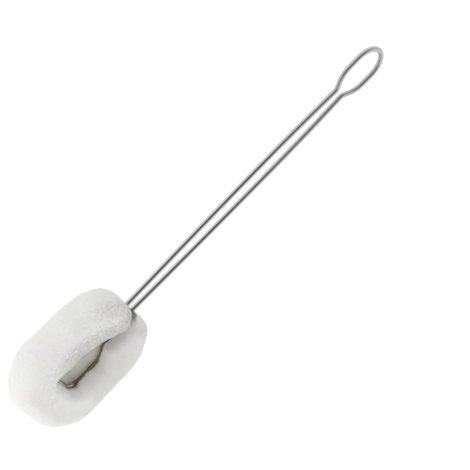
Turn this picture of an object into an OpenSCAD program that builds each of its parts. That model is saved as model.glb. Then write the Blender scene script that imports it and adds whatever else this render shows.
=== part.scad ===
// Bottle brush: one bent steel wire that is its own handle, hanging eye and head ring,
// with one thick strip of open-cell foam bent round the outside of the ring.
// It lies as it comes to rest: on the lower neck edge of the foam and the tip of the eye.
// +X runs along the handle to the head, +Z is up, and the origin is under the middle.

/* [Wire] */
// Diameter of the wire
wire_d = 3.5; // [3:0.1:4.5]

/* [Hanging eye] */
// Width of the eye, between wire centres
eye_w = 27.2; // [21:0.1:36]
// Straight length of each side of the eye
eye_side = 7.2; // [2:0.1:20]
// Angle at which the eye opens out from its waist
eye_angle = 42; // [30:1:50]
// Bend radius of the eye's shoulders
eye_shoulder_r = 16; // [10:0.5:18]
// Bend radius of the waist below the eye
waist_r = 4; // [3:0.5:6]

/* [Handle] */
// Length from the neck face of the foam to the tip of the eye
handle_len = 226.5; // [160:0.5:320]
// Distance between the two legs at the waist, between wire centres
waist_gap = 10; // [8:0.1:13]
// Distance between the two legs at the neck, between wire centres
neck_gap = 10; // [8:0.1:13]
// Angle at which each leg spreads from the waist
waist_splay = 3.6; // [1:0.1:6]
// Angle at which each leg closes in to the neck
neck_splay = 1.7; // [0.5:0.1:3]
// Bend radius where each leg straightens at the neck
neck_r = 40; // [10:1:80]

/* [Head ring] */
// Width of the ring, between wire centres
ring_w = 42.6; // [35:0.1:54]
// Reach of the ring from the neck face, to its wire centre
ring_reach = 65.2; // [58:0.1:80]
// Bend radius of the ring's corners
ring_r = 12; // [10:0.1:16]
// Straight length of each side of the ring
ring_side = 10; // [2:0.5:14]
// Angle at which the whole leg flares out from the neck to the ring
flare_angle = 65; // [50:1:75]
// Angle at which the ring's tail comes back in to the neck
tail_angle = 50; // [40:1:60]
// Bend radius of both wires where they flare at the neck
flare_r = 8; // [5:0.5:10]

/* [Closing wrap] */
// Place of the wrap, measured into the head from the neck face
wrap_x = 2.2; // [1:0.1:6]
// How far the wire goes round the leg
wrap_turn = 275; // [180:5:280]
// Bend radius where the ring's tail turns into the wrap
wrap_bend_r = 2.8; // [2.6:0.1:4]
// Running gap between the wrap and the leg
wrap_gap = 0.1; // [0.05:0.05:0.3]
// Angle of the tail's dip below the ring's plane
dip_angle = 25; // [20:1:35]
// Bend radius of the tail's dip
dip_r = 5; // [4:0.5:8]
// Length of the cut leg end that stays in the throat
leg_stub = 14; // [8:0.5:20]

/* [Foam] */
// Length of the foam head along the handle
foam_len = 93.2; // [84:0.1:120]
// Width of the foam head
foam_w = 96; // [84:0.1:120]
// Thickness of the foam strip, across the plane of the ring
foam_t = 24; // [20.5:0.1:32]
// Rounding of the foam's outer edges
foam_edge_r = 10; // [2:0.5:10]
// Radius of the head's two far corners
foam_far_r = 34; // [20:0.5:36]
// Radius of the head's two neck corners
foam_neck_r = 36; // [20:0.5:40]
// Width of the throat between the strip's two ends, at the neck face
throat_w = 5; // [2:0.1:8]
// Clearance between the foam and the wire that lies in it
foam_fit = 0.3; // [0.1:0.05:0.5]

/* [Hidden] */
$fn = 64;
// Overshoot of cuts past the faces that they open
past = 1;
// The band that joins two steps of the wire: its length, and how little it stands proud
joint_len = 0.4;
joint_proud = 0.02;

// Length of the straight between two opposite bends that shift a wire sideways
function shift_run(angle, r1, r2, shift) = (shift - (r1 + r2) * (1 - cos(angle))) / sin(angle);
// Length along the wire's course of such a shift
function shift_len(angle, r1, r2, shift) =
    (r1 + r2) * sin(angle) + shift_run(angle, r1, r2, shift) * cos(angle);

// Hanging eye
eye_r = eye_w / 2;
eye_shift = eye_r - waist_gap / 2;
eye_len = eye_r + eye_side + shift_len(eye_angle, eye_shoulder_r, waist_r, eye_shift);
tip_x = wire_d / 2 - handle_len;

// Legs: two long arcs meet where the legs are widest apart, and close on the waist and the neck
leg_len = -tip_x - eye_len;
leg_step = (neck_gap - waist_gap) / 2;
leg_det = sin(waist_splay) * (1 - cos(neck_splay)) + sin(neck_splay) * (1 - cos(waist_splay));
leg_waist_r = (leg_len * (1 - cos(neck_splay)) + leg_step * sin(neck_splay)) / leg_det - waist_r;
leg_neck_r = (leg_len * (1 - cos(waist_splay)) - leg_step * sin(waist_splay)) / leg_det - neck_r;

// Head ring
flare_shift = (ring_w - neck_gap) / 2;
side_x = ring_reach - ring_r - ring_side;
flare_x = side_x - shift_len(flare_angle, flare_r, ring_r, flare_shift);

// Closing wrap: the ring's tail lies beside the cut leg, dips, and turns up and over it
wrap_r = wire_d + wrap_gap;
tail_y = neck_gap / 2 + wrap_r;
tail_shift = ring_w / 2 - tail_y;
tail_x = side_x - shift_len(tail_angle, flare_r, ring_r, tail_shift);
dip_len = shift_len(dip_angle, dip_r, dip_r, wrap_bend_r);
tail_run = tail_x - wrap_x - wrap_bend_r - dip_len;

// Rest: the tilt that brings the neck edge of the foam and the tip of the eye to one plane
edge_drop = foam_t / 2 - foam_edge_r;
edge_reach = foam_edge_r - tip_x;
tilt = asin((foam_edge_r - wire_d / 2) / norm([edge_reach, edge_drop])) + atan(edge_drop / edge_reach);
rise = wire_d / 2 - tip_x * sin(tilt);
far_end_x = (foam_len - foam_edge_r) * cos(tilt) + edge_drop * sin(tilt) + foam_edge_r;
near_end_x = tip_x * cos(tilt) - wire_d / 2;

module laid_down() {
    translate([-(far_end_x + near_end_x) / 2, 0, rise])
        rotate([0, -tilt, 0])
            children();
}

// Wire forming: each step adds its length of wire and hands its end on to the next step.
// A hair-thin band over the end of each step makes it one solid with the next.

module joint() {
    rotate([0, 90, 0]) cylinder(r = $thick / 2 + joint_proud, h = joint_len, center = true, $fn = 32);
    children();
}

// A straight length of wire
module run(length) {
    rotate([0, 90, 0]) cylinder(d = $thick, h = length, $fn = 32);
    translate([length, 0, 0])
        if ($children > 0)
            joint() children();
}

// A bend to the left; a negative angle bends to the right
module bend(angle, radius) {
    turn = abs(angle);
    side = sign(angle);
    translate([0, side * radius, 0])
        rotate([0, 0, side > 0 ? -90 : 90 - turn])
            rotate_extrude(angle = turn, $fn = max(64, ceil(6 * 360 / turn)))
                translate([radius, 0])
                    circle(d = $thick, $fn = 32);
    translate([radius * sin(turn), side * radius * (1 - cos(turn)), 0])
        rotate([0, 0, angle])
            if ($children > 0)
                joint() children();
}

// Two opposite bends that shift the wire sideways and leave its direction as it was
module shift(angle, r1, r2, shift) {
    bend(angle, r1)
        run(shift_run(abs(angle), r1, r2, shift))
            bend(-angle, r2)
                children();
}

// Turns the wire about its own length, so that the next bends lie in another plane
module roll(angle) {
    rotate([angle, 0, 0]) children();
}

// Half the eye and one leg, from the eye's tip to the neck
module eye_and_leg() {
    translate([tip_x, 0, 0])
        rotate([0, 0, 90])
            bend(-90, eye_r)
                run(eye_side)
                    bend(-eye_angle, eye_shoulder_r)
                        run(shift_run(eye_angle, eye_shoulder_r, waist_r, eye_shift))
                            bend(eye_angle + waist_splay, waist_r)
                                bend(-waist_splay, leg_waist_r)
                                    bend(-neck_splay, leg_neck_r)
                                        bend(neck_splay, neck_r)
                                            children();
}

// The whole leg's half of the ring, from the neck round to the middle of the far end
module whole_half() {
    run(flare_x)
        shift(flare_angle, flare_r, ring_r, flare_shift)
            run(ring_side)
                bend(-90, ring_r)
                    run(ring_w / 2 - ring_r);
}

// The tail's half of the ring, from the middle of the far end back to the neck
module tail_half() {
    translate([ring_reach, 0, 0])
        rotate([0, 0, 90])
            joint() run(ring_w / 2 - ring_r)
                bend(90, ring_r)
                    run(ring_side)
                        shift(tail_angle, ring_r, flare_r, tail_shift)
                            run(tail_run)
                                roll(90)
                                    shift(-dip_angle, dip_r, dip_r, wrap_bend_r)
                                        children();
}

// The tail's end: up from the dip, then over the top of the cut leg and down its other side
module closing_wrap() {
    bend(90, wrap_bend_r)
        roll(-90)
            bend(wrap_turn, wrap_r);
}

module wire_in_foam() {
    mirror([0, 1, 0]) translate([0, neck_gap / 2, 0]) whole_half();
    tail_half() children();
    translate([0, neck_gap / 2, 0]) run(leg_stub);
}

module handle_wire() {
    $thick = wire_d;
    color("silver")
        laid_down() {
            eye_and_leg();
            mirror([0, 1, 0]) eye_and_leg();
            wire_in_foam() closing_wrap();
        }
}

// Section of the foam from an inner line out to its rounded edge
module edge_section(depth) {
    translate([0, -foam_t / 2]) square([depth - foam_edge_r, foam_t]);
    translate([0, -edge_drop]) square([depth, 2 * edge_drop]);
    for (side = [-1, 1])
        translate([depth - foam_edge_r, side * edge_drop]) circle(r = foam_edge_r);
}

// A straight stretch of the foam's edge, facing +X and centred on Y
module edge_stretch(depth, length) {
    rotate([90, 0, 0]) linear_extrude(length, center = true) edge_section(depth);
}

// The foam with its outer form, before anything is cut
module foam_blank() {
    mid_x = (foam_neck_r + foam_len - foam_far_r) / 2;
    for (side = [0, 1])
        mirror([0, side, 0]) {
            translate([foam_neck_r, foam_w / 2 - foam_neck_r, 0])
                rotate([0, 0, 90]) rotate_extrude(angle = 90) edge_section(foam_neck_r);
            translate([foam_len - foam_far_r, foam_w / 2 - foam_far_r, 0])
                rotate_extrude(angle = 90) edge_section(foam_far_r);
            translate([mid_x, 0, 0])
                rotate([0, 0, 90]) edge_stretch(foam_w / 2, foam_len - foam_far_r - foam_neck_r);
        }
    translate([foam_neck_r, 0, 0])
        rotate([0, 0, 180]) edge_stretch(foam_neck_r, foam_w - 2 * foam_neck_r);
    translate([foam_len - foam_far_r, 0, 0])
        edge_stretch(foam_far_r, foam_w - 2 * foam_far_r);
}

// The opening inside the strip: it follows the ring, and narrows to a throat at the neck
module opening_outline() {
    corner_x = ring_reach - ring_r;
    throat_rise = (ring_w - throat_w) / 2 / side_x;
    polygon([
        [-past, throat_w / 2 - past * throat_rise],
        [side_x, ring_w / 2],
        [side_x, -ring_w / 2],
        [-past, past * throat_rise - throat_w / 2]
    ]);
    translate([side_x, -ring_w / 2]) square([ring_side, ring_w]);
    translate([corner_x - past, ring_r - ring_w / 2]) square([ring_r + past, ring_w - 2 * ring_r]);
    for (side = [-1, 1])
        translate([corner_x, side * (ring_w / 2 - ring_r)]) circle(r = ring_r);
}

// Room at the neck face for the closing wrap and for the tail's turn into it
module wrap_pocket() {
    pocket_r = norm([wrap_r, wrap_bend_r]) + wire_d / 2 + foam_fit;
    translate([-past, neck_gap / 2, 0])
        rotate([0, 90, 0])
            cylinder(r = pocket_r, h = past + wrap_x + wrap_bend_r + foam_fit);
}

module foam_ring() {
    $thick = wire_d + 2 * foam_fit;
    color("whitesmoke")
        laid_down()
            difference() {
                foam_blank();
                linear_extrude(foam_t + 2 * past, center = true) opening_outline();
                wire_in_foam();
                translate([-past, -neck_gap / 2, 0]) run(past);
                wrap_pocket();
            }
}

handle_wire();
foam_ring();
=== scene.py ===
"""A foam-headed bottle brush, lying on a pale floor: one bent steel wire, and one strip of foam
round its ring."""

import math

import bpy
import numpy as np
from mathutils import Matrix


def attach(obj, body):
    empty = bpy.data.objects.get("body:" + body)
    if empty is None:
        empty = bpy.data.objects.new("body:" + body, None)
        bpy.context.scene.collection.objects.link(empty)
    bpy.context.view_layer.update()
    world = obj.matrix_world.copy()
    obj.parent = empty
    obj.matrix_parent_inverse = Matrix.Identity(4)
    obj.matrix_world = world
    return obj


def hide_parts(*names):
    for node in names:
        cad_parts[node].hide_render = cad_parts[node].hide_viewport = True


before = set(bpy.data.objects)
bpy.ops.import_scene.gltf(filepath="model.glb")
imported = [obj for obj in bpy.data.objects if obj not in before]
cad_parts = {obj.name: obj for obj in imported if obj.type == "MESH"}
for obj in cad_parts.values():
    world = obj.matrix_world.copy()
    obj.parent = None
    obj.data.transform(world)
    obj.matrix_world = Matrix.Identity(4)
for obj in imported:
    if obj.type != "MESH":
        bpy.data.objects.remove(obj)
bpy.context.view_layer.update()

MM = 0.001

# ---------------------------------------------------------------------------------------------
# Driving sizes, in millimetres, in the brush's own frame: x from the neck face into the head,
# y across the ring, z out of the ring's plane.
# ---------------------------------------------------------------------------------------------

WIRE_D = 3.5
EYE_R = 13.6
EYE_SIDE = 7.2
EYE_ANGLE = 42
EYE_SHOULDER_R = 16
WAIST_R = 4
HANDLE_LEN = 226.5
LEG_GAP = 10
WAIST_SPLAY = 3.6
NECK_SPLAY = 1.7
NECK_R = 40
RING_W = 42.6
RING_REACH = 65.2
RING_R = 12
RING_SIDE = 10
FLARE_ANGLE = 65
TAIL_ANGLE = 50
FLARE_R = 8
WRAP_X = 2.2
WRAP_TURN = 275
WRAP_BEND_R = 2.8
WRAP_GAP = 0.1
DIP_ANGLE = 25
DIP_R = 5
LEG_STUB = 14

FOAM_LEN = 93.2
FOAM_W = 96
FOAM_T = 24
FOAM_EDGE_R = 10
FOAM_FAR_R = 34
FOAM_NECK_R = 36

# Where the straight sides of the ring begin, seen from the neck
SIDE_X = RING_REACH - RING_R - RING_SIDE

# ---------------------------------------------------------------------------------------------
# The brush's own frame in the row frame: it lies tilted, on the foam's neck edge and the eye's tip.
# ---------------------------------------------------------------------------------------------

TIP_X = WIRE_D / 2 - HANDLE_LEN
EDGE_DROP = FOAM_T / 2 - FOAM_EDGE_R
EDGE_REACH = FOAM_EDGE_R - TIP_X
TILT = (math.asin((FOAM_EDGE_R - WIRE_D / 2) / math.hypot(EDGE_REACH, EDGE_DROP))
        + math.atan(EDGE_DROP / EDGE_REACH))
ALONG = np.array([math.cos(TILT), 0.0, math.sin(TILT)])
ACROSS = np.array([0.0, 1.0, 0.0])
OUT = np.array([-math.sin(TILT), 0.0, math.cos(TILT)])
FAR_END_X = (FOAM_LEN - FOAM_EDGE_R) * math.cos(TILT) + EDGE_DROP * math.sin(TILT) + FOAM_EDGE_R
NEAR_END_X = TIP_X * math.cos(TILT) - WIRE_D / 2
REST_AT = np.array([-(FAR_END_X + NEAR_END_X) / 2, 0.0, WIRE_D / 2 - TIP_X * math.sin(TILT)])


def laid_down(points):
    """Points of the brush's own frame, in millimetres, as points of the row frame, in metres."""
    points = np.asarray(points, float)
    placed = points[..., :1] * ALONG + points[..., 1:2] * ACROSS + points[..., 2:3] * OUT
    return (placed + REST_AT) * MM


# ---------------------------------------------------------------------------------------------
# Wire forming: a course is a list of steps, each a straight run, a bend or a roll.
# ---------------------------------------------------------------------------------------------

def run(length):
    """A straight of that length."""
    return ("run", length)


def bend(angle, radius):
    """An arc through an angle in degrees, to the left, or to the right where it is negative."""
    return ("bend", angle, radius)


def roll(angle):
    """A turn, in degrees, of the plane in which the bends after it lie."""
    return ("roll", angle)


def mirrored(steps):
    """The same steps with every bend turned the other way."""
    return [bend(-s[1], s[2]) if s[0] == "bend" else s for s in steps]


def reversed_course(steps):
    """The same line walked from its other end, so a left bend becomes a right one."""
    return mirrored(steps[::-1])


def shift_run(angle, r1, r2, shift):
    """Length of the straight between two opposite bends that shift a wire sideways."""
    turn = math.radians(angle)
    return (shift - (r1 + r2) * (1 - math.cos(turn))) / math.sin(turn)


def shift_len(angle, r1, r2, shift):
    """Length along the wire's course that such a shift takes."""
    turn = math.radians(angle)
    return (r1 + r2) * math.sin(turn) + shift_run(angle, r1, r2, shift) * math.cos(turn)


def shifted(angle, r1, r2, shift):
    """Two opposite bends with a straight between them."""
    return [bend(angle, r1), run(shift_run(abs(angle), r1, r2, shift)), bend(-angle, r2)]


def turned(vector, axis, angle):
    """A vector turned about a unit axis by Rodrigues' formula."""
    c, s = math.cos(angle), math.sin(angle)
    return vector * c + np.cross(axis, vector) * s + axis * (vector @ axis) * (1 - c)


def walk(steps, start, heading, left, chord=2.0, turn_step=3.0):
    """Points along a course, with the heading and one carried side direction at each of them.

    A run is a straight line. A bend is an arc about the centre that lies a radius away to the left
    or right, and turns the heading and both side directions about the bend's own axis. A roll turns
    only the plane of the bends that follow, so the carried side direction never twists. No step
    between two points is longer than chord or turns by more than turn_step degrees.
    """
    at, ahead, side = (np.array(v, float) for v in (start, heading, left))
    carried = side.copy()
    points, heads, sides = [at[None]], [ahead[None]], [carried[None]]
    for step in steps:
        if step[0] == "roll":
            side = turned(side, ahead, math.radians(step[1]))
            continue
        if step[0] == "run":
            count = max(1, math.ceil(step[1] / chord))
            points.append(at + np.linspace(0, step[1], count + 1)[1:, None] * ahead)
            heads.append(np.repeat(ahead[None], count, 0))
            sides.append(np.repeat(carried[None], count, 0))
            at = at + step[1] * ahead
            continue
        turn, radius = math.radians(step[1]), step[2]
        count = max(1, math.ceil(abs(step[1]) / turn_step), math.ceil(abs(turn) * radius / chord))
        axis = np.cross(ahead, side)
        centre = at + side * radius * math.copysign(1, turn)
        arm = at - centre
        angles = np.linspace(0, turn, count + 1)[1:, None]
        c, s = np.cos(angles), np.sin(angles)
        points.append(centre + arm * c + np.cross(axis, arm) * s)
        heads.append(ahead * c + np.cross(axis, ahead) * s)
        sides.append(carried * c + np.cross(axis, carried) * s + axis * (carried @ axis) * (1 - c))
        at, carried = points[-1][-1], sides[-1][-1]
        ahead, side = turned(ahead, axis, turn), turned(side, axis, turn)
    return np.vstack(points), np.vstack(heads), np.vstack(sides)


def wire_course():
    """The whole wire as one course, from the cut stub in the throat round to the end of the wrap."""
    eye_shift = EYE_R - LEG_GAP / 2
    eye_len = EYE_R + EYE_SIDE + shift_len(EYE_ANGLE, EYE_SHOULDER_R, WAIST_R, eye_shift)
    leg_len = -TIP_X - eye_len
    ws, ns = math.radians(WAIST_SPLAY), math.radians(NECK_SPLAY)
    closing = math.sin(ws) * (1 - math.cos(ns)) + math.sin(ns) * (1 - math.cos(ws))
    half = [
        bend(-90, EYE_R), run(EYE_SIDE), bend(-EYE_ANGLE, EYE_SHOULDER_R),
        run(shift_run(EYE_ANGLE, EYE_SHOULDER_R, WAIST_R, eye_shift)),
        bend(EYE_ANGLE + WAIST_SPLAY, WAIST_R),
        bend(-WAIST_SPLAY, leg_len * (1 - math.cos(ns)) / closing - WAIST_R),
        bend(-NECK_SPLAY, leg_len * (1 - math.cos(ws)) / closing - NECK_R),
        bend(NECK_SPLAY, NECK_R),
    ]
    flare_shift = (RING_W - LEG_GAP) / 2
    flare_x = SIDE_X - shift_len(FLARE_ANGLE, FLARE_R, RING_R, flare_shift)
    whole = [run(flare_x), *shifted(FLARE_ANGLE, FLARE_R, RING_R, flare_shift), run(RING_SIDE),
             bend(-90, RING_R), run(RING_W / 2 - RING_R)]
    wrap_r = WIRE_D + WRAP_GAP
    tail_shift = RING_W / 2 - LEG_GAP / 2 - wrap_r
    tail_x = SIDE_X - shift_len(TAIL_ANGLE, FLARE_R, RING_R, tail_shift)
    dip_len = shift_len(DIP_ANGLE, DIP_R, DIP_R, WRAP_BEND_R)
    tail = [run(RING_W / 2 - RING_R), bend(90, RING_R), run(RING_SIDE),
            *shifted(TAIL_ANGLE, RING_R, FLARE_R, tail_shift),
            run(tail_x - WRAP_X - WRAP_BEND_R - dip_len), roll(90),
            *shifted(-DIP_ANGLE, DIP_R, DIP_R, WRAP_BEND_R),
            bend(90, WRAP_BEND_R), roll(-90), bend(WRAP_TURN, wrap_r)]
    return [run(LEG_STUB), *reversed_course(half), *mirrored(half), *mirrored(whole), *tail]


# ---------------------------------------------------------------------------------------------
# Meshes
# ---------------------------------------------------------------------------------------------

def mesh_piece(name, points, faces, material, values=None, uv=None):
    """A smooth-shaded object from whole arrays of points and quads, with named point values."""
    mesh = bpy.data.meshes.new(name)
    mesh.from_pydata(points.tolist(), [], faces)
    mesh.validate()
    mesh.polygons.foreach_set("use_smooth", np.ones(len(mesh.polygons), bool))
    for key, value in (values or {}).items():
        layer = mesh.attributes.new(key, "FLOAT", "POINT")
        layer.data.foreach_set("value", np.asarray(value, np.float32))
    if uv is not None:
        corner = np.zeros(len(mesh.loops), np.int32)
        mesh.loops.foreach_get("vertex_index", corner)
        mesh.uv_layers.new(name="UVMap").data.foreach_set("uv", uv[corner].astype(np.float32).ravel())
    mesh.materials.append(material)
    mesh.update()
    piece = bpy.data.objects.new(name, mesh)
    bpy.context.scene.collection.objects.link(piece)
    return piece


def capped_tube_faces(rows, cols):
    """Quads between rows of points that each go round a loop of cols points, and a flat face over
    the first and last loop."""
    row, col = np.meshgrid(np.arange(rows - 1), np.arange(cols), indexing="ij")
    after = (col + 1) % cols
    quads = np.stack([row * cols + col, row * cols + after,
                      (row + 1) * cols + after, (row + 1) * cols + col], -1).reshape(-1, 4)
    last = (rows - 1) * cols
    return quads.tolist() + [list(range(cols - 1, -1, -1)), list(range(last, last + cols))]


def lattice_noise(points, size, seed):
    """Smooth noise from -1 to 1: random values at the corners of cells of one size, blended across
    each cell by the curve 3t^2 - 2t^3 in the three directions. A corner's value is its place and the
    seed, each times a large number, mixed bit by bit by shifting and multiplying."""
    cell = points / size
    low = np.floor(cell).astype(np.int64)
    part = cell - low
    part = part * part * (3 - 2 * part)
    total = np.zeros(len(points))
    for corner in np.ndindex(2, 2, 2):
        at = low + np.array(corner)
        mixed = at[:, 0] * 73856093 ^ at[:, 1] * 19349663 ^ at[:, 2] * 83492791 ^ seed * 2654435761
        mixed = (mixed ^ mixed >> 13) * 1274126177 & 0x7FFFFFFF
        mixed = (mixed ^ mixed >> 11) * 1103515245 & 0x7FFFFFFF
        weight = np.prod(np.where(np.array(corner), part, 1 - part), axis=1)
        total += weight * ((mixed ^ mixed >> 15) & 0xFFFFF) / 0xFFFFF
    return total * 2 - 1


def eased(value, low, high):
    """0 below low, 1 above high, and the curve 3t^2 - 2t^3 between."""
    t = np.clip((value - low) / (high - low), 0, 1)
    return t * t * (3 - 2 * t)


# ---------------------------------------------------------------------------------------------
# The wire
# ---------------------------------------------------------------------------------------------

WIRE_SIDES = 40
CUT_CHAMFER = 0.3
# Brown stain, partly painted shade of the foam's recess, on the wire in the ring: it sets in over the
# first stretch of x, and past the second it is less by a share
STAIN_AND_SHADE_START = 6, 24
STAIN_AND_SHADE_FADE = 60, 65
STAIN_AND_SHADE_LOSS = 0.8
# Painted shade on the wrap, in its dark gap against the foam: the run of wire before the wrap over which
# it sets in, and the brown stain and painted shade that go with it
WRAP_SHADE_RUN = 3
WRAP_STAIN_AND_SHADE = 0.2
# Wear near the eye on the near leg (-1) and the far leg (1): how strong, and from where to where it
# sets in, as distances from the neck
RUBBED = {-1: (1.0, 105, 175), 1: (1.25, 70, 150)}


def wire_points():
    """Centre line of the whole wire in the brush's own frame, with headings and side directions."""
    return walk(wire_course(), (LEG_STUB, LEG_GAP / 2, 0), (-1, 0, 0), (0, -1, 0))


def rubbed_leg(half, from_neck):
    """How worn one leg is: an eased step away from the neck, times the leg's strength."""
    strength, low, high = RUBBED[half]
    return strength * eased(from_neck, low, high)


def wire_piece(material):
    """One round wire: a circle carried square to its centre line, drawn in at both cut ends. How stained
    it is (a brown stain, partly painted shade of the foam's recess), how much shade is painted on the
    wrap, and how rubbed it is are eased steps along it."""
    line, head, side = wire_points()
    first = line[0] + CUT_CHAMFER * head[0]
    last = line[-1] - CUT_CHAMFER * head[-1]
    radius = np.full(len(line) + 2, WIRE_D / 2)
    radius[[0, -1]] -= CUT_CHAMFER
    line = np.vstack([line[:1], first, line[1:-1], last, line[-1:]])
    head = np.vstack([head[:1], head, head[-1:]])
    side = np.vstack([side[:1], side, side[-1:]])
    up = np.cross(head, side)
    angle = np.arange(WIRE_SIDES) * 2 * math.pi / WIRE_SIDES
    round_it = (np.cos(angle)[:, None] * side[:, None] + np.sin(angle)[:, None] * up[:, None])
    points = line[:, None] + radius[:, None, None] * round_it
    rows = len(line)
    along = np.concatenate([[0], np.cumsum(np.linalg.norm(np.diff(line, axis=0), axis=1))])
    turn = np.broadcast_to(angle / (2 * math.pi), (rows, WIRE_SIDES))
    uv = np.stack([turn, np.broadcast_to(along[:, None] * MM, (rows, WIRE_SIDES))], -1).reshape(-1, 2)
    wrap_start = along[-1] - math.radians(WRAP_TURN) * (WIRE_D + WRAP_GAP)
    # painted shade on the wrap, where it lies in a dark gap against the foam
    wrap_shade = eased(along, wrap_start - WRAP_SHADE_RUN, wrap_start)
    # brown stain on the wire in the ring, partly painted shade of the foam's recess, less at the far end
    stain_and_shade = eased(line[:, 0], *STAIN_AND_SHADE_START) * (1 - STAIN_AND_SHADE_LOSS * eased(line[:, 0], *STAIN_AND_SHADE_FADE))
    stain_and_shade = np.maximum(stain_and_shade, WRAP_STAIN_AND_SHADE * wrap_shade)
    rubbed = np.where(line[:, 1] < 0, rubbed_leg(-1, -line[:, 0]), rubbed_leg(1, -line[:, 0]))
    return mesh_piece(
        "bent_wire", laid_down(points).reshape(-1, 3), capped_tube_faces(rows, WIRE_SIDES), material,
        {"stain_and_shade": np.repeat(stain_and_shade, WIRE_SIDES), "wrap_shade": np.repeat(wrap_shade, WIRE_SIDES),
         "rubbed": np.repeat(rubbed, WIRE_SIDES)}, uv)


# ---------------------------------------------------------------------------------------------
# The foam. Where a value is written for -1 and 1, it is that of the near half (y < 0) and of the
# far half (y > 0). Two values under one name are where an eased step begins and ends.
# ---------------------------------------------------------------------------------------------

# The groove that the wire lies in
GROOVE_CLEARANCE = 0.12
GROOVE_R = WIRE_D / 2 + GROOVE_CLEARANCE

# The strip's ends in the throat: how wide they are cut, where their inner lines lie, and up to where
# these run straight beside the wires
TIP_W = 0.9
NEAR_THROAT = LEG_GAP / 2
FAR_THROAT = LEG_GAP / 2 + WIRE_D + WRAP_GAP
NEAR_STRAIGHT_X = 9
FAR_STRAIGHT_X = 14
# Steps in each stretch of half an outline: far end, far corner, side, neck corner, neck face
OUTLINE_COUNTS = 24, 92, 40, 84, 40
# The near half's curve into the throat: its points, and how far its middle corners lie from its ends
LOOSE_POINTS = 100
LOOSE_AT_RING = 10
LOOSE_AT_THROAT = 9

# Room for the wrap: how far the far half's end stands aside and how far its face is drawn back, and
# over which x, and which y counted from the throat, each of the two fades. The outer line is in the
# neck face up to NECK_FACE_X.
WRAP_ROOM = 1.5
WRAP_ROOM_X = 3.5, 7.5
WRAP_ROOM_Y = 0, 8
NECK_FACE_X = 1
WRAP_CUT = 2.4
WRAP_CUT_X = 0, 12
WRAP_CUT_Y = 3, 15

# Sections: degrees that the foam grips round the wire, how far its wall bulges past the inner line,
# and the radius of its inner rim, on the ring's sides, at its far end, on the narrow stretch before
# the throat and in the throat
UPPER_GRIP = {-1: 130, 1: 155}
NARROW_GRIP = {-1: 130, 1: 118}
LOWER_GRIP = {-1: 130, 1: 125}
END_GRIP = 72
LOW_END_GRIP = 115
SIDE_BULGE = {-1: 5.2, 1: 3.0}
LOW_BULGE = {-1: 3.0, 1: 4.5}
NARROW_BULGE = {-1: 2.4, 1: 4.4}
THROAT_BULGE = {-1: 3.2, 1: 5.4}
THROAT_BULGE_X = 0, 15
END_BULGE = 0.2
SIDE_ROUND = {-1: 5.5, 1: 9.5}
NARROW_ROUND = {-1: 4, 1: 8}
THROAT_ROUND = {-1: 4, 1: 8}
END_ROUND = 6
LOW_ROUND = 3
# The rim's radius is at most a share of the width, a share of the bulge and a little more
MOST_ROUND_OF_WIDTH = 0.55
MOST_ROUND_OF_BULGE = 0.6
MOST_ROUND_EXTRA = 0.3
# How fast the wall bulges above the groove, as a power, and the points in each stretch of a section
WALL_BOW = 2.2
GROOVE_POINTS, WALL_POINTS, RIM_POINTS, TOP_POINTS = 12, 16, 9, 52

# Where along x the form of the ring takes over, where that of its far end does, and where that of
# the throat ends
RING_FROM = {-1: (34, 50), 1: (28, 42)}
END_FROM = {-1: (52, RING_REACH - 0.5), 1: (57.5, 62)}
THROAT_TO = 10, 17

# Softening of the last sections beside the wrap: its middle, how far it reaches, how far off the
# wire it begins, and how often it is done
SOFT_ROWS = 150
SOFT_X, SOFT_Y = 8, 9
SOFT_LEN, SOFT_WIDTH = 6, 7
SOFT_OFF_WIRE = 2.4, 5
SOFT_PASSES = 200

# Unevenness, in layers of noise: how strong, size of its cells, seed
SWELLS = (0.5, 24, 3), (0.35, 9, 5), (0.2, 3.4, 19)
LIP_SWELLS = (0.8, 4.5, 13), (0.9, 1.8, 17)
CELLS = (0.6, 1.35, 7), (0.4, 2.3, 11)
CELL_DEPTH = 0.26
# Lips over the wire: how strong, how much they stand out by themselves, how far off the wire and how
# wide, and how much less there is of them at the far end
LIP_LUMPS = 0.8
LIP_RISE = 0.2
LIP_AT, LIP_WIDTH = 1.2, 1.6
END_LIP_LOSS = 0.9
# The share of all swelling that a thin strip keeps, and over which widths it grows to the whole
THIN_SWELL = 0.35
THIN_WIDTH = 2, 14
# Places where the foam stands proud of its even form or falls short of it: x, y, how far, how wide
LUMPS = ((84, -38, -2.2, 13), (92, -24, -0.9, 9), (91, 20, 1.1, 11), (77, 44, 1.7, 13),
         (44, -48, -0.9, 12), (23, -45, -1.6, 9), (12, -38, 0.7, 9), (3, -26, 1.6, 8), (2, 22, 1.6, 8))

# Cut cells: they lie open on the near half, round the hole and near the neck, and hardly at all on
# the skin. A pit is where the noise of the cells is high.
HALF_BLEND = 3
SKIN_CELLS = 0.14
CUT_RIM = 7, 20
CUT_UP = 1, 7
FAR_CUT_LOSS = 0.75
FAR_CUT_X = 40, 66
NECK_CUT = 0.8
NECK_CUT_X = 4, 34
NECK_CUT_IN = 20, 38
PIT_FROM = 0.1, 0.7

# Painted shade: the foam greyer round the hole on top, up to the far end, starting lower down away from
# the neck, and once more above the wire where the far half is narrow
HOLE_SHADE = {-1: 0.6, 1: 0.4}
HOLE_SHADE_IN = {-1: (-2, 14), 1: (-3, 42)}
HOLE_SHADE_END_X = 52, 66
HOLE_SHADE_UP = 7.5, 11
HOLE_SHADE_LOWER = 9
HOLE_SHADE_LOWER_X = 4, 24
NARROW_SHADE = 0.6
NARROW_SHADE_X = 30
NARROW_SHADE_LEN, NARROW_SHADE_REACH = 9, 8

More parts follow.
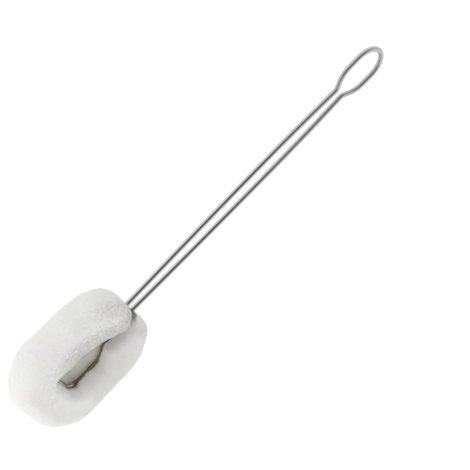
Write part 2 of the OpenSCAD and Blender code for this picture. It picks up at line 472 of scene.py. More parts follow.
# Rust stain and painted shade in the foam: beside the wire, and in patches on the lower wall of the hole.
# Less near the neck.
RUST_AND_SHADE_REACH = 2.2
LOW_RUST_AND_SHADE = 0.4
LOW_RUST_AND_SHADE_IN = -2, 3
LOW_RUST_AND_SHADE_PATCHES = 0.7, 5, 29
NECK_RUST_AND_SHADE = 0.3
NECK_RUST_AND_SHADE_X = 8, 18

# How the strip lies on the wire: its tips drop, its neck face is pushed in at the near leg, and all
# but the foam at the wire sits a little to one side and low, more so the wider the strip is
TIP_DROP = 3
TIP_DROP_X = 0, 9
TIP_DROP_Y = 6, 20
LEG_PUSH = 0.8
LEG_PUSH_R = 3
LEG_PUSH_X = 3
SET_SIDEWAYS = -1.3
SET_DOWN = 0.3
SET_WIDTH = 8
SET_IN = 2, 12
# The foam is kept clear of the wire from this x on. A point that lies nearer to the centre line than
# the least offset is moved as if it lay there.
HEAD_FROM_X = -6
LEAST_OFFSET = 0.05


def evenly(line, count):
    """A bent line cut into count equal lengths: the points after its first one."""
    along = np.concatenate([[0], np.cumsum(np.linalg.norm(np.diff(line, axis=0), axis=1))])
    at = np.linspace(0, along[-1], count + 1)[1:]
    return np.stack([np.interp(at, along, line[:, axis]) for axis in (0, 1)], -1)


def loose_course(throat, straight):
    """A cubic curve that leaves the ring's side in line with it and ends beside the leg."""
    t = np.linspace(0, 1, LOOSE_POINTS)[:, None]
    corners = ((SIDE_X, RING_W / 2), (SIDE_X - LOOSE_AT_RING, RING_W / 2),
               (straight + LOOSE_AT_THROAT, throat), (straight, throat))
    weights = (1 - t) ** 3, 3 * (1 - t) ** 2 * t, 3 * (1 - t) * t ** 2, t ** 3
    return sum(w * np.array(c, float) for w, c in zip(weights, corners))


def close_course(throat, straight):
    """The wire's own two bends from the ring's side to the throat, and the straight after them."""
    steps = shifted(TAIL_ANGLE, RING_R, FLARE_R, RING_W / 2 - throat)
    bends = walk(steps, (SIDE_X, RING_W / 2, 0), (-1, 0, 0), (0, -1, 0))[0]
    return np.vstack([bends[:, :2], [(straight, throat)]])


def half_outlines(throat, straight, course):
    """Outer and inner line of half the strip, from the middle of the far end round to the throat.

    The outer line is straights and arcs. The inner line follows the wire round the ring, takes the
    given course from the ring's side and runs on beside the wire into the throat. The two lines
    have the same number of points in each stretch, which pairs them off.
    """
    far, neck, counts = FOAM_FAR_R, FOAM_NECK_R, OUTLINE_COUNTS

    def stretch(count):
        """Even shares of a stretch, without its start."""
        return np.linspace(0, 1, count + 1)[1:, None]

    def between(share, start, end):
        """Points on the straight from start to end."""
        return (1 - share) * np.array(start, float) + share * np.array(end, float)

    def quarter(share, centre, radius, start):
        """Points on a quarter circle that begins at an angle in degrees."""
        turn = math.radians(start) + share * math.pi / 2
        return np.array(centre, float) + radius * np.hstack([np.cos(turn), np.sin(turn)])

    outer = [
        [(FOAM_LEN, 0)],
        between(stretch(counts[0]), (FOAM_LEN, 0), (FOAM_LEN, FOAM_W / 2 - far)),
        quarter(stretch(counts[1]), (FOAM_LEN - far, FOAM_W / 2 - far), far, 0),
        between(stretch(counts[2]), (FOAM_LEN - far, FOAM_W / 2), (neck, FOAM_W / 2)),
        quarter(stretch(counts[3]), (neck, FOAM_W / 2 - neck), neck, 90),
        between(stretch(counts[4]), (0, FOAM_W / 2 - neck), (0, throat + TIP_W)),
    ]
    inner = [
        [(RING_REACH, 0)],
        between(stretch(counts[0]), (RING_REACH, 0), (RING_REACH, RING_W / 2 - RING_R)),
        quarter(stretch(counts[1]), (RING_REACH - RING_R, RING_W / 2 - RING_R), RING_R, 0),
        between(stretch(counts[2]), (RING_REACH - RING_R, RING_W / 2), (SIDE_X, RING_W / 2)),
        evenly(course, counts[3]),
        between(stretch(counts[4]), (straight, throat), (TIP_W, throat)),
    ]
    return np.vstack(outer), np.vstack(inner)


def strip_outlines():
    """Both halves joined into one strip, from the near half's end round to the far half's end.
    The far half's end makes room for the closing wrap, by eased steps away from the leg and back
    from the neck face."""
    near_course = loose_course(NEAR_THROAT, NEAR_STRAIGHT_X)
    near_outer, near_inner = half_outlines(NEAR_THROAT, NEAR_STRAIGHT_X, near_course)
    far_course = close_course(FAR_THROAT, FAR_STRAIGHT_X)
    far_outer, far_inner = half_outlines(FAR_THROAT, FAR_STRAIGHT_X, far_course)
    far_inner[:, 1] += WRAP_ROOM * (1 - eased(far_inner[:, 0], *WRAP_ROOM_X))
    by_leg = 1 - eased(far_outer[:, 1], FAR_THROAT + WRAP_ROOM_Y[0], FAR_THROAT + WRAP_ROOM_Y[1])
    far_outer[:, 1] += WRAP_ROOM * by_leg * (far_outer[:, 0] < NECK_FACE_X)
    for line in far_outer, far_inner:
        by_wrap = 1 - eased(line[:, 1], FAR_THROAT + WRAP_CUT_Y[0], FAR_THROAT + WRAP_CUT_Y[1])
        line[:, 0] += WRAP_CUT * by_wrap * (1 - eased(line[:, 0], *WRAP_CUT_X))
    over = np.array([1, -1])
    outer = np.vstack([(near_outer * over)[:0:-1], far_outer])
    inner = np.vstack([(near_inner * over)[:0:-1], far_inner])
    return outer, inner


def half_section(width, bulge, grip, edge_in):
    """Half sections of the strip, one a row: distance r from the inner line, and height n.

    Each goes up the groove that the wire presses in, as far round the wire as grip says, over the
    bulged inner wall, round the inner rim by a quarter circle, across the top and round the outer
    edge by a circle of the edge radius. Within that radius of the outer line the height drops as
    the circle does, also where the strip is too narrow for a flat top.
    """
    width, bulge, grip, edge_in = (a[:, None] for a in (width, bulge, grip, edge_in))
    half, edge = FOAM_T / 2, FOAM_EDGE_R

    def drop(distance):
        """How far the edge's circle is below the top at a distance from the outer line."""
        inside = edge - np.clip(distance, 0, edge)
        return edge - np.sqrt(edge ** 2 - inside ** 2)

    a = np.linspace(0, 1, GROOVE_POINTS)[None] * np.radians(grip)
    r_groove, n_groove = GROOVE_R * np.cos(a), GROOVE_R * np.sin(a)
    a = np.linspace(0, math.pi / 2, RIM_POINTS)[None]
    r_rim = -bulge + edge_in * (1 - np.cos(a))
    n_rim = half - edge_in + edge_in * np.sin(a) - drop(width - r_rim)
    t = np.linspace(0, 1, WALL_POINTS)[None, 1:-1]
    r_wall = r_groove[:, -1:] + (-bulge - r_groove[:, -1:]) * (1 - (1 - t) ** WALL_BOW)
    n_wall = n_groove[:, -1:] + (n_rim[:, :1] - n_groove[:, -1:]) * t
    span = width - r_rim[:, -1:]
    flat = np.maximum(span - edge, 0)
    start = np.arcsin(1 - np.minimum(span, edge) / edge)
    s = np.linspace(0, 1, TOP_POINTS)[None, 1:] * (flat + edge * (math.pi / 2 - start))
    a = np.clip(start + (s - flat) / edge, start, math.pi / 2)
    r_top = np.where(s < flat, r_rim[:, -1:] + s, width - edge * (1 - np.sin(a)))
    n_top = np.where(s < flat, half, half - edge + edge * np.cos(a))
    # The upright wall under the edge's circle: halfway down it, and at the ring's plane
    r_out = np.broadcast_to(width, (len(width), 2))
    n_out = np.broadcast_to((half - edge) * np.array([[0.5, 0.0]]), r_out.shape)
    r = np.hstack([r_groove, r_wall, r_rim, r_top, r_out])
    n = np.hstack([n_groove, n_wall, n_rim, n_top, n_out])
    return r, n


def grid_normals(grid):
    """Unit normals of a grid that is closed round its second direction: the cross product of the
    steps along it and round it."""
    along = np.gradient(grid, axis=0)
    round_it = np.roll(grid, -1, 1) - np.roll(grid, 1, 1)
    normal = np.cross(along, round_it)
    return normal / np.maximum(np.linalg.norm(normal, axis=-1, keepdims=True), 1e-9)


def softened(grid, share, passes):
    """A grid closed round its second direction, each point moved again and again by its share of
    the way to the mean of its four neighbours."""
    for _ in range(passes):
        mean = (np.roll(grid, 1, 1) + np.roll(grid, -1, 1)) / 4
        mean[1:-1] += (grid[2:] + grid[:-2]) / 4
        mean[[0, -1]] = grid[[0, -1]]
        grid = grid + share[..., None] * (mean - grid)
    return grid


def strip_grid():
    """The even strip as a grid in the brush's own frame, one section a row, with its normals.

    A section's point at r and n lies r from the inner line towards the paired point of the outer
    line, and n out of the ring's plane. Bulge, grip and rounding are blended from place to place
    by eased steps along x. The last sections are softened beside the wrap, by a bell curve round
    its middle. r, n, each row's width and how far it is into the far end are given back as well.
    """
    outer, inner = strip_outlines()
    across = outer - inner
    width = np.linalg.norm(across, axis=1)
    across = across / width[:, None]
    x, far_side = inner[:, 0], inner[:, 1] > 0

    def of_half(pair):
        """The value of the half that each row is on."""
        return np.where(far_side, pair[1], pair[-1])

    by_ring, at_end = (np.where(far_side, eased(x, *step[1]), eased(x, *step[-1]))
                       for step in (RING_FROM, END_FROM))
    by_throat = 1 - eased(x, *THROAT_TO)

    def by_place(side, end, narrow, throat):
        """A value at each row, from those of the ring's sides, far end, narrow place and throat."""
        at_ring = of_half(side) + (end - of_half(side)) * at_end
        return (by_ring * at_ring + by_throat * of_half(throat)
                + (1 - by_ring - by_throat) * of_half(narrow))

    throat_bulge = {-1: THROAT_BULGE[-1], 1: THROAT_BULGE[1] * eased(x, *THROAT_BULGE_X)}
    bulge = by_place(SIDE_BULGE, END_BULGE, NARROW_BULGE, throat_bulge)
    low_bulge = by_place(LOW_BULGE, END_BULGE, NARROW_BULGE, throat_bulge)
    grip = by_place(UPPER_GRIP, END_GRIP, NARROW_GRIP, UPPER_GRIP)
    low_grip = by_place(LOWER_GRIP, LOW_END_GRIP, LOWER_GRIP, LOWER_GRIP)
    rounding = by_place(SIDE_ROUND, END_ROUND, NARROW_ROUND, THROAT_ROUND)
    most = MOST_ROUND_OF_WIDTH * width + MOST_ROUND_EXTRA + MOST_ROUND_OF_BULGE * bulge
    upper = half_section(width, bulge, grip, np.minimum(rounding, most))
    lower = half_section(width, low_bulge, low_grip, np.minimum(LOW_ROUND, most))
    r = np.hstack([upper[0], lower[0][:, -2:0:-1]])
    n = np.hstack([upper[1], -lower[1][:, -2:0:-1]])
    grid = np.stack([inner[:, None, 0] + r * across[:, None, 0],
                     inner[:, None, 1] + r * across[:, None, 1], n], -1)

    last = grid[-SOFT_ROWS:]
    from_x, from_y = (last[:, :, 0] - SOFT_X) / SOFT_LEN, (last[:, :, 1] - SOFT_Y) / SOFT_WIDTH
    share = np.exp(-from_x ** 2 - from_y ** 2) * eased(np.hypot(r, n)[-SOFT_ROWS:], *SOFT_OFF_WIRE)
    grid[-SOFT_ROWS:] = softened(last, share, SOFT_PASSES)

    normal = grid_normals(grid)
    row, col = len(r) // 2, r.shape[1] // 2
    if (normal[row, col] * np.append(across[row], 0)).sum() < 0:
        normal = -normal
    return grid, normal, r, n, width, at_end


def layered_noise(points, layers):
    """The sum of layers of smooth noise, each with its strength, cell size and seed."""
    return sum(strength * lattice_noise(points, size, seed) for strength, size, seed in layers)


def swelling(points, by_wire, into_end, strip_w):
    """How far the foam stands out of its even form: layers of noise, plus a bell curve round each
    lump, plus the lips, a bell curve across the wire's edge times noise of their own. A thin strip
    keeps only a share of all that."""
    swell = layered_noise(points, SWELLS)
    for lump_x, lump_y, rise, spread in LUMPS:
        away_2 = (points[:, 0] - lump_x) ** 2 + (points[:, 1] - lump_y) ** 2
        swell += rise * np.exp(-away_2 / spread ** 2)
    lips = np.exp(-((by_wire - LIP_AT) / LIP_WIDTH) ** 2) * (1 - END_LIP_LOSS * into_end)
    swell += LIP_LUMPS * lips * (layered_noise(points, LIP_SWELLS) + LIP_RISE)
    return swell * (THIN_SWELL + (1 - THIN_SWELL) * eased(strip_w, *THIN_WIDTH))


def cut_cells(points, inward, near_half):
    """The noise of the cells, how open they are cut, and their pits. Open is the skin's share plus
    the rest times an eased fall from the hole's rim or from the neck, whichever is more."""
    x, up = points[:, 0], points[:, 2]
    by_rim = (1 - eased(inward, *CUT_RIM)) * (1 - FAR_CUT_LOSS * eased(x, *FAR_CUT_X))
    by_neck = NECK_CUT * (1 - eased(x, *NECK_CUT_X)) * (1 - eased(inward, *NECK_CUT_IN))
    on_top = np.maximum(by_rim, by_neck) * eased(up, *CUT_UP)
    open_cells = SKIN_CELLS + (1 - SKIN_CELLS) * on_top * near_half
    cells = layered_noise(points, CELLS)
    return cells, open_cells, eased(cells, *PIT_FROM) * open_cells


def hole_shade_share(points, inward, by_wire, near_half):
    """How much shade is painted on the foam: on each half an eased fall from the hole outwards, on top
    only and not at the far end, plus a bell curve round the narrow place of the far half."""
    x, up, far_half = points[:, 0], points[:, 2], 1 - near_half
    hole_shade = HOLE_SHADE[1] * far_half * (1 - eased(inward, *HOLE_SHADE_IN[1]))
    hole_shade += HOLE_SHADE[-1] * near_half * (1 - eased(inward, *HOLE_SHADE_IN[-1]))
    on_top = eased(up + HOLE_SHADE_LOWER * eased(x, *HOLE_SHADE_LOWER_X), *HOLE_SHADE_UP)
    hole_shade *= (1 - eased(x, *HOLE_SHADE_END_X)) * on_top
    narrow = np.exp(-((x - NARROW_SHADE_X) / NARROW_SHADE_LEN) ** 2 - (by_wire / NARROW_SHADE_REACH) ** 2)
    return hole_shade + NARROW_SHADE * far_half * narrow * (up > 0)


def rust_and_shade_share(points, inward, by_wire):
    """How much rust stain and painted shade the foam has: a bell curve of the distance from the wire, plus
    patches of noise on the lower wall of the hole, by an eased step less near the neck, and 1 at most."""
    rust_and_shade = np.exp(-(np.maximum(by_wire, 0) / RUST_AND_SHADE_REACH) ** 2)
    patches = 1 + layered_noise(points, (LOW_RUST_AND_SHADE_PATCHES,))
    rust_and_shade += LOW_RUST_AND_SHADE * (points[:, 2] < 0) * (1 - eased(inward, *LOW_RUST_AND_SHADE_IN)) * patches
    return np.minimum(rust_and_shade * (NECK_RUST_AND_SHADE + (1 - NECK_RUST_AND_SHADE) * eased(points[:, 0], *NECK_RUST_AND_SHADE_X)), 1)


def pushed_clear(points, line, reach):
    """Points nearer to a bent line than reach, moved straight away from it to that distance. The
    nearest place on each straight of the line is where the square from the point meets it."""
    near = np.flatnonzero(np.abs(points[:, 2]) < FOAM_T / 2)
    nearest = np.full(len(near), np.inf)
    away = np.zeros((len(near), 3))
    for start, straight in zip(line[:-1], np.diff(line, axis=0)):
        gap = points[near] - start
        share = np.clip(gap @ straight / (straight @ straight), 0, 1)
        gap -= share[:, None] * straight
        distance = np.linalg.norm(gap, axis=1)
        closer = distance < nearest
        nearest[closer] = distance[closer]
        away[closer] = gap[closer]
    inside = nearest < reach
    moved = points.copy()
    lift = (reach - nearest[inside]) / np.maximum(nearest[inside], LEAST_OFFSET)
    moved[near[inside]] += away[inside] * lift[:, None]
    return moved


def laid_on_wire(points, inward, strip_w):
    """The strip's points as they come to lie: the tips lowered by eased steps towards the neck and
    the leg, the face pushed in by a bell curve round the near leg, all that is away from the wire
    set sideways and down, and nothing nearer to the wire than the groove's radius."""
    points = points.copy()
    by_neck = 1 - eased(points[:, 0], *TIP_DROP_X)
    tip_drop = TIP_DROP * by_neck * (1 - eased(np.abs(points[:, 1]), *TIP_DROP_Y))
    points[:, 2] *= 1 - tip_drop / (FOAM_T / 2)
    from_leg = np.hypot(points[:, 1] + LEG_GAP / 2, points[:, 2])
    points[:, 0] += LEG_PUSH * np.exp(-(from_leg / LEG_PUSH_R) ** 2) * (points[:, 0] < LEG_PUSH_X)
    from_wire = (1 - np.exp(-strip_w / SET_WIDTH)) * eased(inward, *SET_IN)
    points[:, 1] += SET_SIDEWAYS * from_wire
    points[:, 2] -= SET_DOWN * from_wire
    line = wire_points()[0]
    in_head = np.flatnonzero(line[:, 0] > HEAD_FROM_X)
    for stretch in np.split(in_head, np.flatnonzero(np.diff(in_head) > 1) + 1):
        points = pushed_clear(points, line[stretch], GROOVE_R)
    return points


def foam_piece(material):
    """The foam strip: the even grid moved out along its normals by the swelling less the depth of
    the cells, laid on the wire, cut off by the floor's height, with a flat face at both ends."""
    grid, normal, r, n, width, at_end = strip_grid()
    rows, cols = r.shape
    points, inward = grid.reshape(-1, 3), r.reshape(-1)
    by_wire = np.hypot(r, n).reshape(-1) - GROOVE_R
    into_end, strip_w = np.repeat(at_end, cols), np.repeat(width, cols)
    near_half = eased(-points[:, 1], -HALF_BLEND, HALF_BLEND)
    cells, open_cells, pit = cut_cells(points, inward, near_half)
    values = {"pit": pit, "open_cells": open_cells, "rust_and_shade": rust_and_shade_share(points, inward, by_wire),
              "hole_shade": hole_shade_share(points, inward, by_wire, near_half)}
    rise = swelling(points, by_wire, into_end, strip_w) - CELL_DEPTH * cells * open_cells
    points = laid_on_wire(points + normal.reshape(-1, 3) * rise[:, None], inward, strip_w)
    placed = laid_down(points)
    placed[:, 2] = np.maximum(placed[:, 2], 0.0)
    return mesh_piece("foam_strip", placed, capped_tube_faces(rows, cols), material, values)


# ---------------------------------------------------------------------------------------------
# Materials
# ---------------------------------------------------------------------------------------------

class Finish:
    """A node material that is built up by naming nodes and linking their sockets."""

    def __init__(self, name):
        self.material = bpy.data.materials.new(name)
        self.material.use_nodes = True
        self.nodes = self.material.node_tree.nodes
        self.links = self.material.node_tree.links
        self.surface = self.nodes["Principled BSDF"]

    def set(self, **values):
        """Plain values for the surface's sockets, with _ for each space in a socket's name."""
        for key, value in values.items():
            self.surface.inputs[key.replace("_", " ")].default_value = value

    def node(self, kind, inputs=None, **settings):
        """A new node with its settings, and with a value or a link for each of the given inputs."""
        node = self.nodes.new(kind)
        for key, value in settings.items():
            setattr(node, key, value)
        for key, value in (inputs or {}).items():
            self.feed(node.inputs[key], value)
        return node

    def feed(self, socket, value):
        """Link a socket to an output, or give it a plain value."""
        if isinstance(value, bpy.types.NodeSocket):
            self.links.new(value, socket)
        else:
            socket.default_value = value

    def point_value(self, name):
        """A value that the mesh carries at its points."""
        return self.node("ShaderNodeAttribute", attribute_name=name).outputs["Fac"]

    def math(self, operation, *values):
        """The result of one step of arithmetic."""
        node = self.node("ShaderNodeMath", operation=operation)
        for socket, value in zip(node.inputs, values):
            self.feed(socket, value)
        return node.outputs[0]

    def scaled(self, value, by, plus):
        """The value times by, plus plus."""
        return self.math("MULTIPLY_ADD", value, by, plus)

    def blend(self, share, first, second):
        """A mix of two colours. Sockets 6 and 7 take the colours, and output 2 is the mix."""
        node = self.node("ShaderNodeMix", data_type="RGBA")
        self.feed(node.inputs["Factor"], share)
        self.feed(node.inputs[6], first)
        self.feed(node.inputs[7], second)
        return node.outputs[2]

    def place(self, scale):
        """Object coordinates, scaled alike in the three directions."""
        at = self.node("ShaderNodeTexCoord").outputs["Object"]
        return self.node("ShaderNodeMapping", {"Vector": at, "Scale": (scale, scale, scale)}).outputs[0]

    def noise(self, vector, **inputs):
        """Smooth noise from 0 to 1 at a place."""
        return self.node("ShaderNodeTexNoise", {"Vector": vector, **inputs}).outputs["Fac"]

    def bumped(self, height, strength, distance):
        """The surface's normal, tipped as the slope of a height says."""
        bump = self.node("ShaderNodeBump", {"Height": height, "Strength": strength, "Distance": distance})
        self.feed(self.surface.inputs["Normal"], bump.outputs[0])


def linear(r, g, b):
    """A colour given as 0-255 screen values, as the linear values that a shader takes."""
    return tuple(((c / 255 + 0.055) / 1.055) ** 2.4 for c in (r, g, b)) + (1.0,)


# Colours of the steel and of the foam
STEEL_LINE, STEEL_BETWEEN = linear(196, 196, 196), linear(214, 214, 213)
# the next line's colours paint shade: grey at the wrap, and a brown stain with painted shade in the ring
STEEL_WRAP_SHADE, STEEL_STAIN_AND_SHADE = linear(120, 120, 116), linear(112, 98, 80)
FOAM_GREENISH, FOAM_PINKISH = linear(240, 241, 236), linear(242, 240, 240)
# the foam's painted shades: a grey round the hole, a grey in the pits, and a beige for the rust stain with
# its painted shade
FOAM_HOLE_SHADE, FOAM_SHADE, FOAM_RUST_AND_SHADE = linear(196, 194, 189), linear(186, 186, 183), linear(174, 169, 147)

# Cells of the drawn lines round the wire and in a metre of it, and of the patches in a metre
DRAWN_LINES = 60, 18, 1
PATCHES = 130
# Share of the painted shade on the wrap and of the brown stain with painted shade in the ring that shows
MOST_WRAP_SHADE = 0.85
MOST_STAIN_AND_SHADE = 0.95
# Cells of the wandering cast in a metre, and the stretch of its noise that takes it right over
CAST_PATCHES = 42
CAST_LOW, CAST_HIGH = 0.35, 0.65
# Share of the rust stain and painted shade that shows
MOST_RUST_AND_SHADE = 0.75


def drawn_steel():
    """Bright drawn wire: fine lines along it, a little uneven in gloss, grey with painted shade at the
    wrap, and brown in the ring, a stain from the wet foam that is partly painted shade of its recess.
    Stain and shade, wear and patches each add to its roughness."""
    steel = Finish("drawn_steel")
    uv = steel.node("ShaderNodeUVMap", uv_map="UVMap").outputs[0]
    lines = steel.node("ShaderNodeMapping", {"Vector": uv, "Scale": DRAWN_LINES}).outputs[0]
    drawn = steel.noise(lines, Scale=1.0, Detail=4.0)
    patches = steel.noise(steel.place(PATCHES), Scale=1.0, Detail=5.0, Roughness=0.65)
    patchy = steel.scaled(patches, by=1.1, plus=0.35)
    # painted shade: brown stain and shade in the ring, grey shade at the wrap
    stain_shade_share = steel.math("MULTIPLY", steel.point_value("stain_and_shade"), patchy)
    stain_shade_share = steel.math("MINIMUM", stain_shade_share, MOST_STAIN_AND_SHADE)
    wrap_shade_share = steel.math("MULTIPLY", steel.point_value("wrap_shade"), MOST_WRAP_SHADE)
    bright = steel.blend(drawn, STEEL_LINE, STEEL_BETWEEN)
    bright = steel.blend(wrap_shade_share, bright, STEEL_WRAP_SHADE)
    steel.feed(steel.surface.inputs["Base Color"], steel.blend(stain_shade_share, bright, STEEL_STAIN_AND_SHADE))
    steel.set(Metallic=1.0)
    rough = steel.scaled(patches, by=0.08, plus=0.05)
    rough = steel.scaled(steel.point_value("rubbed"), by=0.28, plus=rough)
    rough = steel.scaled(stain_shade_share, by=0.30, plus=rough)
    steel.feed(steel.surface.inputs["Roughness"], rough)
    steel.bumped(drawn, strength=0.12, distance=0.00006)
    return steel.material


def open_cell_foam():
    """Off-white foam: light goes a few millimetres in, cut cells are darker pits of painted shade, the
    cast of the white wanders a little, painted shade greys it round the hole, and rust stain with painted
    shade browns it beside the wire. The pore shade is painted: a plain level less cells and fine noise,
    kept from 0 to 1, and it shows and stands out as far as the cells lie open."""
    foam = Finish("open_cell_foam")
    pit, open_cells = foam.point_value("pit"), foam.point_value("open_cells")
    at_mm = foam.place(1 / MM)
    cells = foam.node("ShaderNodeTexVoronoi", {"Vector": at_mm, "Scale": 0.55, "Randomness": 1.0})
    cells = cells.outputs["Distance"]
    fine = foam.noise(at_mm, Scale=0.8, Detail=3.0, Roughness=0.7)
    cast = foam.noise(foam.place(CAST_PATCHES), Scale=1.0, Detail=2.0)
    cast = foam.node("ShaderNodeMapRange", {"Value": cast, "From Min": CAST_LOW, "From Max": CAST_HIGH})
    white = foam.blend(cast.outputs[0], FOAM_GREENISH, FOAM_PINKISH)
    # painted shade round the hole
    white = foam.blend(foam.point_value("hole_shade"), white, FOAM_HOLE_SHADE)
    # painted shade in the open cells' pits
    pore_shade = foam.scaled(cells, by=-0.9, plus=foam.scaled(fine, by=-1.6, plus=1.5))
    pore_shade = foam.math("MINIMUM", foam.math("MAXIMUM", pore_shade, 0.0), 1.0)
    pore_shade = foam.math("MULTIPLY", pore_shade, open_cells)
    shade = foam.scaled(pit, by=0.25, plus=pore_shade)
    shaded = foam.blend(foam.math("MINIMUM", shade, 1.0), white, FOAM_SHADE)
    # rust stain and painted shade beside the wire and on the hole's lower wall
    rust_and_shade = foam.math("MULTIPLY", foam.point_value("rust_and_shade"), MOST_RUST_AND_SHADE)
    foam.feed(foam.surface.inputs["Base Color"], foam.blend(rust_and_shade, shaded, FOAM_RUST_AND_SHADE))
    foam.set(Roughness=0.95, Subsurface_Weight=0.35, Subsurface_Scale=0.004,
             Subsurface_Radius=(1.0, 0.95, 0.88), Specular_IOR_Level=0.15)
    height = foam.scaled(cells, by=0.7, plus=fine)
    height = foam.math("MULTIPLY", height, foam.scaled(open_cells, by=0.8, plus=0.2))
    foam.bumped(height, strength=0.7, distance=0.0006)
    return foam.material


# ---------------------------------------------------------------------------------------------
# Floor, light and camera
# ---------------------------------------------------------------------------------------------

# The floor, in metres, and how much it glows for all rays and for those of the camera
FLOOR_HALF = 3.0
FLOOR_BELOW = 4e-5
FLOOR_GREY = 0.8
FLOOR_GLOW = 0.3
SEEN_GLOW = 0.6

# Brightness of the sky that bright metal mirrors, and of the one that lights all that is matt, from
# the horizon in front (0) over the zenith (0.5) to the horizon behind (1)
MIRRORED_SKY = (0.0, 0.06), (0.06, 0.04), (0.24, 0.05), (0.36, 0.34), (0.5, 0.66), (0.66, 0.95), (1.0, 1.0)
EVEN_SKY = (0.0, 0.98), (0.06, 0.98), (0.13, 0.9), (0.25, 0.83), (0.5, 0.84), (0.8, 0.9), (1.0, 0.95)
# How much of the mirrored sky is left low down, from the handle's side (0) over the front and back
# (0.5) to the head's side (1), and the heights between which that fades in, from high to low
LOW_SKY = (0.0, 0.5), (0.3, 0.5), (0.44, 1.0), (0.56, 1.0), (0.75, 0.08), (1.0, 0.08)
LOW_SKY_HEIGHTS = 0.6, 0.1
# How much brighter the even sky is at the head's end than in the middle
END_LIGHT = 0.4

# The camera: degrees from straight above the ring's plane, millimetres, and how it is rolled
CAMERA_TURN = 62
CAMERA_DISTANCE = 1641.8
CAMERA_LENS = 200
CAMERA_SENSOR = 36
CAMERA_SEES_M = 20
VIEW_X = -78.5
VIEW_P = 15.7
ROLL_ALONG = 0.6992
ROLL_ACROSS = 0.7150


def pale_floor():
    """A wide white floor. It keeps a soft shadow, and looks white to the camera and in the steel."""
    finish = Finish("pale_floor")
    finish.set(Roughness=0.9, Base_Color=(FLOOR_GREY, FLOOR_GREY, FLOOR_GREY, 1))
    rays = finish.node("ShaderNodeLightPath").outputs
    seen = finish.scaled(rays["Is Camera Ray"], by=SEEN_GLOW - FLOOR_GLOW, plus=FLOOR_GLOW)
    glow = finish.node("ShaderNodeEmission", {"Color": (1, 1, 1, 1), "Strength": seen})
    both = finish.node("ShaderNodeAddShader")
    finish.links.new(finish.surface.outputs[0], both.inputs[0])
    finish.links.new(glow.outputs[0], both.inputs[1])
    finish.links.new(both.outputs[0], finish.nodes["Material Output"].inputs["Surface"])
    square = np.array([[-1, -1, 0], [1, -1, 0], [1, 1, 0], [-1, 1, 0]])
    corners = FLOOR_HALF * square - np.array([0, 0, FLOOR_BELOW])
    return mesh_piece("floor", corners, [[0, 1, 2, 3]], finish.material)


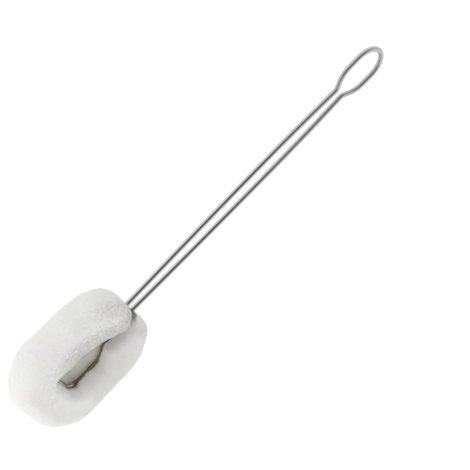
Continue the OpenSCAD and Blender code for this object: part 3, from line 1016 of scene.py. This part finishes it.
def studio_sky():
    """Even white light for all that is matt. Bright metal sees a dark band low in front of the
    brush, from which the sky brightens upwards and over to the back. The angle from the horizon in
    front to the one behind is the arc tangent of height over depth, as a share of a half turn."""
    world = bpy.data.worlds.new("studio")
    bpy.context.scene.world = world
    world.use_nodes = True
    nodes, links = world.node_tree.nodes, world.node_tree.links
    nodes.clear()

    def node(kind, **settings):
        """A new node of the sky with its settings."""
        made = nodes.new(kind)
        for key, value in settings.items():
            setattr(made, key, value)
        return made

    def ramped(stops, value):
        """The grey that straight lines between the stops give for a value from 0 to 1."""
        ramp = node("ShaderNodeValToRGB")
        elements = ramp.color_ramp.elements
        for at, _ in stops[1:-1]:
            elements.new(at)
        for element, (at, grey) in zip(elements, stops):
            element.position = at
            element.color = (grey, grey, grey, 1)
        links.new(value, ramp.inputs[0])
        return ramp.outputs[0]

    split = node("ShaderNodeSeparateXYZ")
    links.new(node("ShaderNodeTexCoord").outputs["Generated"], split.inputs[0])
    front = node("ShaderNodeMath", operation="MULTIPLY")
    front.inputs[1].default_value = -1
    links.new(split.outputs["Y"], front.inputs[0])
    rise = node("ShaderNodeMath", operation="ARCTAN2")
    links.new(split.outputs["Z"], rise.inputs[0])
    links.new(front.outputs[0], rise.inputs[1])
    share = node("ShaderNodeMath", operation="DIVIDE")
    share.inputs[1].default_value = math.pi
    links.new(rise.outputs[0], share.inputs[0])

    mirrored_sky, even_sky = node("ShaderNodeBackground"), node("ShaderNodeBackground")
    links.new(ramped(MIRRORED_SKY, share.outputs[0]), mirrored_sky.inputs["Color"])
    links.new(ramped(EVEN_SKY, share.outputs[0]), even_sky.inputs["Color"])
    aside = node("ShaderNodeMath", operation="MULTIPLY_ADD")
    links.new(split.outputs["X"], aside.inputs[0])
    aside.inputs[1].default_value = aside.inputs[2].default_value = 0.5
    low_down = node("ShaderNodeMapRange")
    low_down.inputs["From Min"].default_value = LOW_SKY_HEIGHTS[0]
    low_down.inputs["From Max"].default_value = LOW_SKY_HEIGHTS[1]
    links.new(split.outputs["Z"], low_down.inputs["Value"])
    left = node("ShaderNodeMix", data_type="FLOAT")
    links.new(low_down.outputs[0], left.inputs["Factor"])
    left.inputs["A"].default_value = 1.0
    links.new(ramped(LOW_SKY, aside.outputs[0]), left.inputs["B"])
    links.new(left.outputs[0], mirrored_sky.inputs["Strength"])
    from_end = node("ShaderNodeMath", operation="MULTIPLY_ADD")
    links.new(split.outputs["X"], from_end.inputs[0])
    from_end.inputs[1].default_value = END_LIGHT
    from_end.inputs[2].default_value = 1.0
    links.new(from_end.outputs[0], even_sky.inputs["Strength"])
    mix = node("ShaderNodeMixShader")
    links.new(node("ShaderNodeLightPath").outputs["Is Glossy Ray"], mix.inputs[0])
    links.new(even_sky.outputs[0], mix.inputs[1])
    links.new(mirrored_sky.outputs[0], mix.inputs[2])
    links.new(mix.outputs[0], node("ShaderNodeOutputWorld").inputs["Surface"])


def long_camera():
    """A long lens from the near side, turned about its own axis so that the brush runs from the
    lower left to the upper right."""
    turn = math.radians(CAMERA_TURN)
    back = -math.sin(turn) * ACROSS + math.cos(turn) * OUT
    over = math.cos(turn) * ACROSS + math.sin(turn) * OUT
    target = (VIEW_X * ALONG + VIEW_P * over + REST_AT) * MM
    matrix = np.eye(4)
    matrix[:3, 0] = -ROLL_ALONG * ALONG + ROLL_ACROSS * over
    matrix[:3, 1] = -ROLL_ACROSS * ALONG - ROLL_ALONG * over
    matrix[:3, 2] = back
    matrix[:3, 3] = target + CAMERA_DISTANCE * MM * back
    lens = bpy.data.cameras.new("camera")
    lens.type = "PERSP"
    lens.lens, lens.sensor_width = CAMERA_LENS, CAMERA_SENSOR
    lens.clip_end = CAMERA_SEES_M
    holder = bpy.data.objects.new("camera", lens)
    holder.matrix_world = Matrix(matrix.tolist())
    bpy.context.scene.collection.objects.link(holder)
    bpy.context.scene.camera = holder


wire = wire_piece(drawn_steel())
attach(wire, "root")
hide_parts("handle_wire")

foam = foam_piece(open_cell_foam())
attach(foam, "root")
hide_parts("foam_ring")

pale_floor()
studio_sky()
long_camera()

bpy.context.scene.view_settings.view_transform = "Standard"
